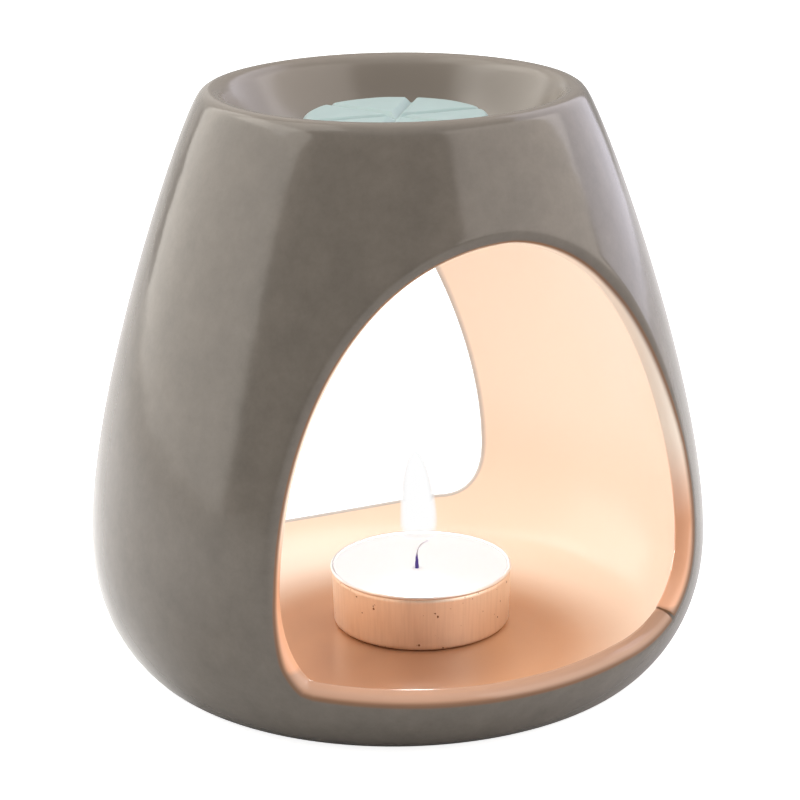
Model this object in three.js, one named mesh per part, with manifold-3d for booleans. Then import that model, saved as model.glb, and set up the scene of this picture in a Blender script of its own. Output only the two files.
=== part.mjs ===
// Wax melt burner: an egg-shaped glazed body with a dish in its crown and a large opening
// at the front and back, a wax melt in the dish and a tealight on the chamber floor.
// Millimetres, +Z up, origin at the centre of the foot, front opening facing -Y.
import * as THREE from 'three';
import { mergeVertices } from 'three/addons/utils/BufferGeometryUtils.js';
import Module from 'manifold-3d';

const wasm = await Module();
wasm.setup();

// Outside of the body
const footRadius = 51.6;
const footHandle = 2;
const bellyRadius = 64;
const bellyHeight = 26;
const bellyLowHandle = 17.4;
const bellyHighHandle = 29.3;
const bodyHeight = 120;
const rimRadius = 36.4;
const rimRound = 2.95;
const rimOuterLean = THREE.MathUtils.degToRad(38);
const rimInnerLean = THREE.MathUtils.degToRad(152);
const shoulderHandle = 6.7;

// Dish in the crown
const dishDepth = 15.7;
const dishFloorRadius = 20;
const dishLowHandle = 8;
const dishHighHandle = 7;
const dishThickness = 5;

// Chamber
const wallThickness = 4.1;
const floorThickness = 4.3;
const chamberFloorRadius = 41;
const chamberFloorHandle = 8;
const chamberWallHandle = 4;
const chamberWallBottom = 5;
const chamberWallTop = 104;
const vaultSpringHandle = 5;
const vaultCeilingHandle = 9;

// Openings, drawn flat around the belly: widths are lengths along the belly, and heights are
// heights on the outside of the wall
const innerEdgeRound = 0.7;
const outerEdgeRound = 2.5;
const edgeRoundSteps = 3;
const plugProud = 0.25;
const plugInnerRadius = 38;
const plugOuterRadius = 100;
const backSide = {
  halfWidth: 48,
  widestHeight: 23.7,
  sillHalfWidth: 35.6,
  archHandle: 28,
  sideHandle: 37.8,
  cornerHandle: 12.2,
  sillHandle: 4.9,
};
const back = {
  facing: Math.PI,
  crown: 98.2,
  crownAside: 0,
  sill: 10.5,
  sillSag: 3.5,
  left: backSide,
  right: backSide,
};
const front = {
  facing: 0,
  crown: 98.3,
  crownAside: 4,
  sill: 15.2,
  sillSag: 1.4,
  left: {
    halfWidth: 51.4,
    widestHeight: 35.9,
    sillHalfWidth: 45,
    archHandle: 25.7,
    sideHandle: 49.8,
    cornerHandle: 13.1,
    sillHandle: 1.1,
  },
  right: {
    halfWidth: 52,
    widestHeight: 44,
    sillHalfWidth: 24.3,
    archHandle: 6.8,
    sideHandle: 50,
    cornerHandle: 16.6,
    sillHandle: 21.1,
  },
};

// Wax melt
const meltRadius = 18.7;
const meltFootRadius = 17.8;
const meltThickness = 9.6;
const meltEdgeRound = 1.2;
const meltX = 0.6;
const meltY = -0.3;
const meltSegments = 6;
const meltGrooveWidth = 2.4;
const meltGrooveDepth = 1.4;
const meltGrooveTurn = THREE.MathUtils.degToRad(-4.8);

// Tealight
const tealightX = 5.2;
const tealightY = -0.1;
const cupLipRadius = 19.25;
const cupFootRadius = 18.7;
const cupFootRound = 0.8;
const cupHeight = 12.3;
const cupWall = 0.4;
const cupBeadRadius = 0.38;
const waxFill = 11.1;
const waxRimHeight = 12;
const waxRimWidth = 1.8;
const wickX = -0.8;
const wickY = 0.35;
const wickDiameter = 1.4;
const wickExposed = 7;
const wickBend = 2.4;
const sustainerRadius = 6.3;
const sustainerThickness = 0.4;
const sustainerNeckWall = 0.35;
const sustainerNeckHeight = 3.2;

// Clearances between pieces
const seatGap = 0.2;
const fitGap = 0.3;

// Fineness of the curved faces
const bodyTurns = 60;
const smallTurns = 40;
const tinyTurns = 20;

const ceilingHeight = bodyHeight - dishDepth - dishThickness;
const dishFloorHeight = bodyHeight - dishDepth;

const glaze = new THREE.MeshStandardMaterial({ color: '#857c74', roughness: 0.12, metalness: 0 });
const mintWax = new THREE.MeshStandardMaterial({ color: '#b9d6cd', roughness: 0.45, metalness: 0 });
const aluminium = new THREE.MeshStandardMaterial({ color: '#c9c5c1', roughness: 0.25, metalness: 1 });
const whiteWax = new THREE.MeshStandardMaterial({ color: '#f2ece0', roughness: 0.4, metalness: 0 });
const cotton = new THREE.MeshStandardMaterial({ color: '#4a4152', roughness: 0.9, metalness: 0 });
const tinplate = new THREE.MeshStandardMaterial({ color: '#b4b3af', roughness: 0.35, metalness: 1 });

// A closed geometry with shared corners and no collapsed triangles.
function closed(geometry) {
  const bare = geometry.index ? geometry.toNonIndexed() : geometry.clone();
  bare.deleteAttribute('normal');
  bare.deleteAttribute('uv');
  const merged = mergeVertices(bare);
  const corners = merged.index.array;
  const kept = [];
  for (let i = 0; i < corners.length; i += 3) {
    const [a, b, c] = corners.slice(i, i + 3);
    if (a !== b && b !== c && c !== a) {
      kept.push(a, b, c);
    }
  }
  merged.setIndex(kept);
  merged.computeVertexNormals();
  return merged;
}

function solid(geometry) {
  const shell = closed(geometry);
  const vertProperties = Float32Array.from(shell.attributes.position.array);
  const triVerts = Uint32Array.from(shell.index.array);
  return new wasm.Manifold(new wasm.Mesh({ numProp: 3, vertProperties, triVerts }));
}

function surface(manifold) {
  const { vertProperties, triVerts } = manifold.getMesh();
  const geometry = new THREE.BufferGeometry();
  geometry.setAttribute('position', new THREE.BufferAttribute(vertProperties, 3));
  geometry.setIndex(new THREE.BufferAttribute(triVerts, 1));
  geometry.computeVertexNormals();
  return geometry;
}

// Turns a profile of (radius, height) points about the Z axis.
function turned(profile, turns) {
  return new THREE.LatheGeometry(profile, turns).rotateX(Math.PI / 2);
}

function cubic(start, startHandle, endHandle, end, divisions) {
  return new THREE.CubicBezierCurve(start, startHandle, endHandle, end).getPoints(divisions);
}

function arc(centre, radius, from, to, divisions) {
  const points = [];
  for (let i = 0; i <= divisions; i += 1) {
    const angle = from + ((to - from) * i) / divisions;
    points.push(new THREE.Vector2(radius, 0).rotateAround(new THREE.Vector2(), angle).add(centre));
  }
  return points;
}

function point(x, y) {
  return new THREE.Vector2(x, y);
}

// Outside of the wall, from the foot over the belly to where the rim begins.
function outerWall() {
  const foot = cubic(
    point(footRadius, 0),
    point(footRadius + footHandle, 0),
    point(bellyRadius, bellyHeight - bellyLowHandle),
    point(bellyRadius, bellyHeight),
    9,
  );
  const rimCentre = point(rimRadius, bodyHeight - rimRound);
  const outward = point(Math.cos(rimOuterLean), Math.sin(rimOuterLean));
  const rimStart = rimCentre.addScaledVector(outward, rimRound);
  const down = point(outward.y, -outward.x).multiplyScalar(shoulderHandle);
  const side = cubic(
    point(bellyRadius, bellyHeight),
    point(bellyRadius, bellyHeight + bellyHighHandle),
    rimStart.clone().add(down),
    rimStart,
    14,
  );
  return [...foot, ...side.slice(1)];
}

// The place at a depth square into the wall from one height on its outside.
function placeInWall(height, depth) {
  const wall = outerWall();
  const ways = wall.map((p, i) => {
    const below = wall[Math.max(i - 1, 0)];
    const above = wall[Math.min(i + 1, wall.length - 1)];
    return point(below.y - above.y, above.x - below.x).normalize();
  });
  const next = Math.max(1, wall.findIndex((p) => p.y >= height));
  const share = (height - wall[next - 1].y) / (wall[next].y - wall[next - 1].y);
  const inward = ways[next - 1].clone().lerp(ways[next], share);
  return wall[next - 1].clone().lerp(wall[next], share).addScaledVector(inward, depth);
}

function outsideProfile() {
  const rimCentre = point(rimRadius, bodyHeight - rimRound);
  const rim = arc(rimCentre, rimRound, rimOuterLean, rimInnerLean, 8);
  const lip = rim[rim.length - 1];
  const down = point(-Math.sin(rimInnerLean), Math.cos(rimInnerLean)).multiplyScalar(dishHighHandle);
  const dish = cubic(
    lip,
    lip.clone().add(down),
    point(dishFloorRadius + dishLowHandle, dishFloorHeight),
    point(dishFloorRadius, dishFloorHeight),
    8,
  );
  return [point(0, 0), ...outerWall(), ...rim.slice(1), ...dish.slice(1), point(0, dishFloorHeight)];
}

// The chamber: a bowl from its floor, the inside of the wall, and the vault under the dish.
function chamberProfile() {
  const between = outerWall().map((p) => p.y).filter((y) => y > chamberWallBottom && y < chamberWallTop);
  const heights = [chamberWallBottom, ...between, chamberWallTop];
  const wall = heights.map((height) => placeInWall(height, wallThickness));
  const foot = wall[0];
  const spring = wall[wall.length - 1];
  const footWay = wall[1].clone().sub(foot).setLength(chamberWallHandle);
  const springWay = spring.clone().sub(wall[wall.length - 2]).setLength(vaultSpringHandle);
  const bowl = cubic(
    point(chamberFloorRadius, floorThickness),
    point(chamberFloorRadius + chamberFloorHandle, floorThickness),
    foot.clone().sub(footWay),
    foot,
    5,
  );
  const vault = cubic(
    spring,
    spring.clone().add(springWay),
    point(dishFloorRadius + vaultCeilingHandle, ceilingHeight),
    point(dishFloorRadius, ceilingHeight),
    6,
  );
  return [
    point(0, floorThickness),
    ...bowl,
    ...wall.slice(1, -1),
    ...vault,
    point(0, ceilingHeight),
  ];
}

// Outline of an opening, from the crown of its arch round by the left, as seen from outside.
function openingOutline(opening) {
  const { crown, crownAside, sill, sillSag, left, right } = opening;
  const shape = new THREE.Shape();
  shape.moveTo(crownAside, crown);
  shape.bezierCurveTo(
    crownAside - left.archHandle, crown,
    -left.halfWidth, left.widestHeight + left.sideHandle,
    -left.halfWidth, left.widestHeight,
  );
  shape.bezierCurveTo(
    -left.halfWidth, left.widestHeight - left.cornerHandle,
    -left.sillHalfWidth - left.sillHandle, sill,
    -left.sillHalfWidth, sill,
  );
  const sillMiddle = (right.sillHalfWidth - left.sillHalfWidth) / 2;
  shape.quadraticCurveTo(sillMiddle, sill - 2 * sillSag, right.sillHalfWidth, sill);
  shape.bezierCurveTo(
    right.sillHalfWidth + right.sillHandle, sill,
    right.halfWidth, right.widestHeight - right.cornerHandle,
    right.halfWidth, right.widestHeight,
  );
  shape.bezierCurveTo(
    right.halfWidth, right.widestHeight + right.sideHandle,
    crownAside + right.archHandle, crown,
    crownAside, crown,
  );
  return shape.getPoints(9).slice(0, -1);
}

// A plug square through the wall, wrapped about the axis. It widens by the rounding of the
// edge at both faces of the wall, and its end faces stand well clear of the wall.
function openingPlug(opening) {
  const outline = openingOutline(opening);
  const ways = outline.map((p, i) => {
    const before = outline[(i + outline.length - 1) % outline.length];
    const after = outline[(i + 1) % outline.length];
    return point(after.y - before.y, before.x - after.x).normalize();
  });
  const layers = [{ spread: innerEdgeRound, fromInside: -plugProud }];
  for (let i = 0; i <= edgeRoundSteps; i += 1) {
    const turn = (i / edgeRoundSteps) * (Math.PI / 2);
    layers.push({
      spread: innerEdgeRound * (1 - Math.sin(turn)),
      fromInside: innerEdgeRound * (1 - Math.cos(turn)),
    });
  }
  for (let i = 0; i <= edgeRoundSteps; i += 1) {
    const turn = (i / edgeRoundSteps) * (Math.PI / 2);
    layers.push({
      spread: outerEdgeRound * (1 - Math.cos(turn)),
      fromOutside: outerEdgeRound * (1 - Math.sin(turn)),
    });
  }
  layers.push({ spread: outerEdgeRound, fromOutside: -plugProud });
  layers.unshift({ ...layers[0], radius: plugInnerRadius });
  layers.push({ ...layers[layers.length - 1], radius: plugOuterRadius });

  const positions = [];
  for (const { spread, fromInside, fromOutside, radius } of layers) {
    outline.forEach((p, i) => {
      const flat = p.clone().addScaledVector(ways[i], spread);
      const depth = fromOutside === undefined ? wallThickness - fromInside : fromOutside;
      const section = placeInWall(flat.y, depth);
      const reach = radius === undefined ? section.x : radius;
      const angle = opening.facing + flat.x / bellyRadius;
      positions.push(reach * Math.sin(angle), -reach * Math.cos(angle), section.y);
    });
  }
  const around = outline.length;
  const corners = [];
  for (let layer = 0; layer + 1 < layers.length; layer += 1) {
    for (let i = 0; i < around; i += 1) {
      const low = layer * around + i;
      const lowNext = layer * around + ((i + 1) % around);
      corners.push(low, lowNext, lowNext + around, low, lowNext + around, low + around);
    }
  }
  const top = (layers.length - 1) * around;
  for (const [a, b, c] of THREE.ShapeUtils.triangulateShape(outline, [])) {
    corners.push(c, b, a, top + a, top + b, top + c);
  }
  const geometry = new THREE.BufferGeometry();
  geometry.setAttribute('position', new THREE.Float32BufferAttribute(positions, 3));
  geometry.setIndex(corners);
  return solid(geometry);
}

// Slip-cast body: outside with its dish, less the chamber and the two openings.
function ceramicBody() {
  const outside = solid(turned(outsideProfile(), bodyTurns));
  const chamber = solid(turned(chamberProfile(), bodyTurns));
  return surface(outside.subtract(chamber).subtract(openingPlug(front)).subtract(openingPlug(back)));
}

// Moulded disc of scented wax, scored into segments by V-shaped grooves.
function waxMelt() {
  const edge = point(meltRadius - meltEdgeRound, meltThickness - meltEdgeRound);
  const disc = solid(turned([
    point(0, 0),
    point(meltFootRadius, 0),
    ...arc(edge, meltEdgeRound, 0, Math.PI / 2, 5),
    point(0, meltThickness),
  ], smallTurns));
  const section = new THREE.Shape([
    point(0, meltThickness - meltGrooveDepth),
    point(meltGrooveWidth, meltThickness + meltGrooveDepth),
    point(-meltGrooveWidth, meltThickness + meltGrooveDepth),
  ]);
  const length = 3 * meltRadius;
  let melt = disc;
  for (let i = 0; i < meltSegments / 2; i += 1) {
    const groove = new THREE.ExtrudeGeometry(section, { depth: length, bevelEnabled: false });
    groove.translate(0, 0, -length / 2);
    groove.rotateX(Math.PI / 2);
    groove.rotateZ(Math.PI / 2 + meltGrooveTurn + (i * 2 * Math.PI) / meltSegments);
    melt = melt.subtract(solid(groove));
  }
  return surface(melt);
}

// Pressed foil cup with its edge rolled into a bead.
function tealightCup() {
  const beadCentre = point(cupLipRadius - cupBeadRadius, cupHeight - cupBeadRadius);
  const wallTop = point(cupLipRadius - cupBeadRadius, cupHeight - 2 * cupBeadRadius);
  const footCentre = point(cupFootRadius - cupFootRound, cupFootRound);
  return closed(turned([
    point(0, 0),
    ...arc(footCentre, cupFootRound, -Math.PI / 2, 0, 3),
    wallTop,
    ...arc(beadCentre, cupBeadRadius, -Math.PI / 3, Math.PI, 8),
    point(beadCentre.x - cupWall, wallTop.y),
    ...arc(footCentre, cupFootRound - cupWall, 0, -Math.PI / 2, 3),
    point(0, cupWall),
  ], smallTurns));
}

// Candle wax cast in the cup, hollowed beneath for the wick's sustainer.
function candleWax() {
  const wallTop = cupHeight - 2 * cupBeadRadius;
  const cupWallSlope = (cupLipRadius - cupBeadRadius - cupFootRadius) / (wallTop - cupFootRound);
  const cupInside = (height) => cupFootRadius - cupWall + (height - cupFootRound) * cupWallSlope;
  const bottom = cupWall + seatGap;
  const bore = wickDiameter / 2 + fitGap;
  const neckPocket = bore + sustainerNeckWall + fitGap;
  const neckTop = cupWall + seatGap + sustainerThickness + sustainerNeckHeight + fitGap;
  const discTop = bottom + sustainerThickness + fitGap;
  const discPocket = sustainerRadius + fitGap;
  const block = solid(turned([
    point(0, bottom),
    point(cupFootRadius - cupFootRound - fitGap, bottom),
    point(cupInside(cupFootRound) - fitGap, cupFootRound + fitGap),
    point(cupInside(wallTop) - fitGap, wallTop),
    point(cupInside(wallTop) - fitGap, waxRimHeight),
    point(cupInside(wallTop) - fitGap - waxRimWidth, waxFill),
    point(0, waxFill),
  ], smallTurns));
  const pocket = solid(turned([
    point(0, 0),
    point(discPocket, 0),
    point(discPocket, discTop),
    point(neckPocket, discTop),
    point(neckPocket, neckTop),
    point(bore, neckTop),
    point(bore, cupHeight),
    point(0, cupHeight),
  ], smallTurns));
  return surface(block.subtract(pocket.translate(wickX, wickY, 0)));
}

// Braided cotton wick, standing in the sustainer and curled over at its burnt end.
function wick() {
  const radius = wickDiameter / 2;
  const bottom = cupWall + seatGap;
  const top = waxFill + wickExposed;
  const path = new THREE.CurvePath();
  path.add(new THREE.LineCurve3(
    new THREE.Vector3(0, 0, bottom),
    new THREE.Vector3(0, 0, waxFill + wickExposed / 3),
  ));
  path.add(new THREE.CubicBezierCurve3(
    new THREE.Vector3(0, 0, waxFill + wickExposed / 3),
    new THREE.Vector3(0, 0, top - wickExposed / 4),
    new THREE.Vector3(wickBend / 4, 0, top - radius),
    new THREE.Vector3(wickBend, 0, top - radius / 2),
  ));
  const section = new THREE.Shape().absarc(0, 0, radius, 0, 2 * Math.PI);
  return closed(new THREE.ExtrudeGeometry(section, { steps: 14, curveSegments: 8, extrudePath: path }));
}

// Stamped tin disc with a neck crimped round the foot of the wick.
function wickSustainer() {
  const bottom = cupWall + seatGap;
  const bore = wickDiameter / 2 + fitGap;
  const neckTop = bottom + sustainerThickness + sustainerNeckHeight;
  return closed(turned([
    point(bore, bottom),
    point(sustainerRadius, bottom),
    point(sustainerRadius, bottom + sustainerThickness),
    point(bore + sustainerNeckWall, bottom + sustainerThickness),
    point(bore + sustainerNeckWall, neckTop),
    point(bore, neckTop),
    point(bore, bottom),
  ], tinyTurns));
}

function piece(name, geometry, material) {
  const mesh = new THREE.Mesh(geometry, material);
  mesh.name = name;
  return mesh;
}

const melt = piece('wax_melt', waxMelt(), mintWax);
melt.position.set(meltX, meltY, dishFloorHeight + seatGap);

const candleWick = piece('wick', wick(), cotton);
const sustainer = piece('wick_sustainer', wickSustainer(), tinplate);
for (const part of [candleWick, sustainer]) {
  part.position.set(wickX, wickY, 0);
}

const tealight = new THREE.Group();
tealight.position.set(tealightX, tealightY, floorThickness + seatGap);
tealight.add(
  piece('tealight_cup', tealightCup(), aluminium),
  piece('candle_wax', candleWax(), whiteWax),
  candleWick,
  sustainer,
);

const burner = new THREE.Group();
burner.add(piece('ceramic_body', ceramicBody(), glaze), melt, tealight);

export default burner;
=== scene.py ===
"""Wax melt burner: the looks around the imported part, in metres, +Z up, front opening facing -Y."""

import math
from bisect import bisect_left

import bmesh
import bpy
from mathutils import Matrix, Vector, noise
from mathutils.geometry import interpolate_bezier


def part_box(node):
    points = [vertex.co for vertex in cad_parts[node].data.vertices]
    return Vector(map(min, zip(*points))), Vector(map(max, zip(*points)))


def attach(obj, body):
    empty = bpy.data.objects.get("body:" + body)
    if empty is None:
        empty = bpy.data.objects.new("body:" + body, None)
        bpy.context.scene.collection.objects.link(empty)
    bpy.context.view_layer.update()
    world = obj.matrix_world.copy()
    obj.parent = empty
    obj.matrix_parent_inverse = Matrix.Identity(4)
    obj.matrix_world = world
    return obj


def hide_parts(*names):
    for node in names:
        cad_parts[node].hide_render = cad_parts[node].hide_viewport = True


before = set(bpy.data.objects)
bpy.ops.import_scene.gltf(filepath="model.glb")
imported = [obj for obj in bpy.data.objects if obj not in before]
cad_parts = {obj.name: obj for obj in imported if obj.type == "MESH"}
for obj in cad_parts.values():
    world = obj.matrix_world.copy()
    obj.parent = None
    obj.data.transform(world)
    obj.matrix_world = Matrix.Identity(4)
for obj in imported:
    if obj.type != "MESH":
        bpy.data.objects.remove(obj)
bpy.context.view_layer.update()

# Camera
# The photograph was taken half a metre from the burner and 24 degrees to the left of its
# front opening, looking 18 degrees down through a long lens that crops close.
camera_turn = math.radians(-24)
camera_distance = 0.4928
camera_height = 0.2152
camera_tilt = math.radians(18.12)
camera_yaw = math.radians(0.09)
camera_roll = math.radians(-0.71)
photo_pixels = 800
focal_pixels = 2499
sensor_width = 36

lens = bpy.data.cameras.new("camera")
lens.sensor_width = sensor_width
lens.lens = focal_pixels / photo_pixels * sensor_width
lens.clip_start = 0.01
camera = bpy.data.objects.new("camera", lens)
bpy.context.scene.collection.objects.link(camera)
camera.matrix_world = (
    Matrix.Rotation(camera_turn, 4, "Z")
    @ Matrix.Translation((0, -camera_distance, camera_height))
    @ Matrix.Rotation(-camera_yaw, 4, "Z")
    @ Matrix.Rotation(math.pi / 2 - camera_tilt, 4, "X")
    @ Matrix.Rotation(camera_roll, 4, "Z")
)
bpy.context.scene.camera = camera
bpy.context.scene.view_settings.view_transform = "Standard"


# Studio
# A white sweep lit plainly: a tall softbox at the left with a small fill over it, a weaker
# one at the right, a strip behind each shoulder and a soft overhead that the gloss doesn't
# mirror. The camera sees the sweep as white, and the floor keeps the burner's shadow.
def linear(code):
    """An sRGB hex colour as linear red, green, blue and alpha."""
    channels = [int(code[i : i + 2], 16) / 255 for i in (1, 3, 5)]
    curve = [c / 12.92 if c <= 0.04045 else ((c + 0.055) / 1.055) ** 2.4 for c in channels]
    return (*curve, 1.0)


def add_node(tree, kind, inputs=None, **settings):
    """Adds a node: an input given as a socket is linked, and any other is set."""
    node = tree.nodes.new(kind)
    for name, value in settings.items():
        setattr(node, name, value)
    for name, value in (inputs or {}).items():
        if isinstance(value, bpy.types.NodeSocket):
            tree.links.new(value, node.inputs[name])
        else:
            node.inputs[name].default_value = value
    return node


def new_tree(holder):
    """An empty node tree on a material or a world."""
    holder.use_nodes = True
    holder.node_tree.nodes.clear()
    return holder.node_tree


# The room is lit more behind the burner than towards the camera; the gloss mirrors it dimmer,
# under a brighter ceiling
world = bpy.data.worlds.new("white_studio")
bpy.context.scene.world = world
tree = new_tree(world)
room_behind = 0.8
room_towards_camera = 0.26
gloss_behind = 0.36
gloss_towards_camera = 0.18
gloss_ceiling = 0.7
towards_camera = (math.sin(camera_turn), -math.cos(camera_turn), 0)
rays = add_node(tree, "ShaderNodeLightPath")
way = add_node(tree, "ShaderNodeTexCoord").outputs["Generated"]
facing = add_node(tree, "ShaderNodeVectorMath", {0: way, 1: towards_camera}, operation="DOT_PRODUCT")
gloss_light = add_node(
    tree, "ShaderNodeMapRange",
    {
        "Value": facing.outputs["Value"], "From Min": 0.3, "From Max": 0.8,
        "To Min": gloss_behind, "To Max": gloss_towards_camera,
    },
)
up = add_node(tree, "ShaderNodeSeparateXYZ", {"Vector": way}).outputs["Z"]
ceiling_light = add_node(
    tree, "ShaderNodeMapRange",
    {"Value": up, "From Min": 0.6, "From Max": 0.85, "To Min": 0.0, "To Max": gloss_ceiling},
)
gloss_light = add_node(
    tree, "ShaderNodeMath",
    {0: gloss_light.outputs["Result"], 1: ceiling_light.outputs["Result"]}, operation="MAXIMUM",
)
room_light = add_node(
    tree, "ShaderNodeMapRange",
    {
        "Value": facing.outputs["Value"], "From Min": -0.5, "From Max": 0.5,
        "To Min": room_behind, "To Max": room_towards_camera,
    },
)
strength = add_node(
    tree, "ShaderNodeMix",
    {
        0: rays.outputs["Is Glossy Ray"], 2: room_light.outputs["Result"],
        3: gloss_light.outputs[0],
    },
)
seen = add_node(
    tree, "ShaderNodeMath",
    {0: rays.outputs["Is Camera Ray"], 1: rays.outputs["Is Transmission Ray"]}, operation="MAXIMUM",
)
strength = add_node(
    tree, "ShaderNodeMath", {0: strength.outputs[0], 1: seen.outputs[0]}, operation="MAXIMUM"
)
sky = add_node(
    tree, "ShaderNodeBackground", {"Color": (1, 1, 1, 1), "Strength": strength.outputs[0]}
)
add_node(tree, "ShaderNodeOutputWorld", {"Surface": sky.outputs[0]})

# The floor glows white for the camera alone; in the gloss it shows a painted glow near the
# burner's left, a painted pool of the tall softbox's light
floor_mesh = bpy.data.meshes.new("floor")
floor_shape = bmesh.new()
bmesh.ops.create_grid(floor_shape, x_segments=2, y_segments=2, size=3)
floor_shape.to_mesh(floor_mesh)
floor_shape.free()
floor = bpy.data.objects.new("floor", floor_mesh)
bpy.context.scene.collection.objects.link(floor)
floor_paint = bpy.data.materials.new("white_sweep")
tree = new_tree(floor_paint)
rays = add_node(tree, "ShaderNodeLightPath")
shadow_paint = add_node(tree, "ShaderNodeBsdfDiffuse", {"Color": linear("#d4d4d4")})
seen_glow = 0.85
painted_glow = 0.6
lit_turn = camera_turn + math.radians(-97)
floor_way = add_node(tree, "ShaderNodeTexCoord").outputs["Object"]
to_lit = (math.sin(lit_turn), -math.cos(lit_turn), 0)
outward = add_node(tree, "ShaderNodeVectorMath", {0: floor_way}, operation="NORMALIZE")
leftward = add_node(
    tree, "ShaderNodeVectorMath", {0: outward.outputs[0], 1: to_lit}, operation="DOT_PRODUCT"
)
lit_side = add_node(
    tree, "ShaderNodeMapRange", {"Value": leftward.outputs["Value"], "From Min": 0.66, "From Max": 0.95}
)
away = add_node(tree, "ShaderNodeVectorMath", {0: floor_way}, operation="LENGTH")
lit_near = add_node(
    tree, "ShaderNodeMapRange",
    {"Value": away.outputs["Value"], "From Min": 0.3, "From Max": 0.7, "To Min": painted_glow, "To Max": 0.0},
)
# A painted pool of light on the floor, seen only in the gloss
painted_glow_patch = add_node(
    tree, "ShaderNodeMath", {0: lit_side.outputs["Result"], 1: lit_near.outputs["Result"]},
    operation="MULTIPLY",
)
glow = add_node(
    tree, "ShaderNodeMath", {0: rays.outputs["Is Glossy Ray"], 1: painted_glow_patch.outputs[0]},
    operation="MULTIPLY",
)
glow = add_node(
    tree, "ShaderNodeMath",
    {0: rays.outputs["Is Camera Ray"], 1: seen_glow, 2: glow.outputs[0]}, operation="MULTIPLY_ADD",
)
white_paint = add_node(tree, "ShaderNodeEmission", {"Color": (1, 1, 1, 1), "Strength": glow.outputs[0]})
sweep = add_node(tree, "ShaderNodeAddShader", {0: shadow_paint.outputs[0], 1: white_paint.outputs[0]})
add_node(tree, "ShaderNodeOutputMaterial", {"Surface": sweep.outputs[0]})
floor_mesh.materials.append(floor_paint)

# Each lamp: turn from the camera towards its right, rise, roll, distance, width, height, watts,
# colour, and whether the gloss mirrors it. All face a point inside the burner.
lamps_face = (0, 0, 0.06)
softboxes = {
    "left_softbox": (-100, 24, 0, 0.9, 1.4, 1.0, 9.3, "#fffaf2", True),
    "left_strip": (-156, 24, 0, 0.9, 0.5, 1.0, 0.8, "#fbf6f0", True),
    "left_fill": (-96, 56, 0, 0.9, 0.7, 0.6, 2.0, "#fffaf2", True),
    "right_softbox": (73, 24, -20, 0.9, 1.24, 1.0, 7.3, "#fff6ee", True),
    "right_strip": (129, 24, 0, 0.9, 0.74, 1.0, 4.0, "#f1efff", True),
    "overhead": (20, 82, 0, 0.9, 0.6, 0.6, 3.0, "#ffffff", False),
}
for name, (turn, rise, roll, distance, width, height, watts, colour, mirrored) in softboxes.items():
    lamp_data = bpy.data.lights.new(name, "AREA")
    lamp_data.shape = "RECTANGLE"
    lamp_data.size = width
    lamp_data.size_y = height
    lamp_data.energy = watts
    lamp_data.color = linear(colour)[:3]
    lamp = bpy.data.objects.new(name, lamp_data)
    bpy.context.scene.collection.objects.link(lamp)
    lamp.visible_glossy = mirrored
    lamp.matrix_world = (
        Matrix.Translation(lamps_face)
        @ Matrix.Rotation(camera_turn + math.radians(turn), 4, "Z")
        @ Matrix.Rotation(math.radians(90 - rise), 4, "X")
        @ Matrix.Rotation(math.radians(roll), 4, "Z")
        @ Matrix.Translation((0, 0, distance))
    )


# Ceramic body
# One slip-cast stoneware piece, its dish, wall and floor in one, with the two openings cut
# out while it was leather-hard and their edges sponged round. It is glazed taupe outside and
# in the dish, and cream inside; along the cut edges the glaze lies thin and shows brown.
mm = 0.001
body_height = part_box("ceramic_body")[1][2] / mm
belly_radius = 64
belly_height = 26
foot_radius = 51.6
foot_handle = 2.0
belly_low_handle = 17.4
belly_high_handle = 29.3
rim_radius = 36.4
rim_round = 2.95
rim_outer_lean = math.radians(38)
rim_inner_lean = math.radians(152)
shoulder_handle = 6.7
dish_floor_height = body_height - 15.7
dish_floor_radius = 20
dish_low_handle = 8
dish_high_handle = 7
ceiling_height = dish_floor_height - 5
wall_thickness = 4.1
floor_height = 4.3
chamber_floor_radius = 41
chamber_floor_handle = 8
chamber_wall_handle = 4
vault_spring_handle = 5
vault_ceiling_handle = 9
inner_edge_round = 0.7
outer_edge_round = 2.5

# The stretch of the wall where the flat pattern's upright measure is height on its outside
pattern_low = 5
pattern_high = 104
pattern_bottom = -3
pattern_top = 110
pattern_middle = 50
turn_steps = 144
upright_steps = 40


def curve(*points, count=40):
    """Points along a cubic curve given by its ends and handles."""
    return interpolate_bezier(*[Vector((x, y, 0)) for x, y in points], count)


def arc(centre, radius, start, end, count=20):
    """Points along a circle from one turn to another."""
    turns = [start + (end - start) * i / (count - 1) for i in range(count)]
    return [Vector((centre[0] + radius * math.cos(a), centre[1] + radius * math.sin(a), 0)) for a in turns]


rim_centre = (rim_radius, body_height - rim_round)
rim = arc(rim_centre, rim_round, rim_outer_lean, rim_inner_lean)
side = curve(
    (belly_radius, belly_height),
    (belly_radius, belly_height + belly_high_handle),
    (
        rim[0].x + shoulder_handle * math.sin(rim_outer_lean),
        rim[0].y - shoulder_handle * math.cos(rim_outer_lean),
    ),
    rim[0].xy,
    count=160,
)
foot = curve(
    (foot_radius, 0),
    (foot_radius + foot_handle, 0),
    (belly_radius, belly_height - belly_low_handle),
    (belly_radius, belly_height),
    count=60,
)
outer_profile = foot + side[1:]

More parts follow.
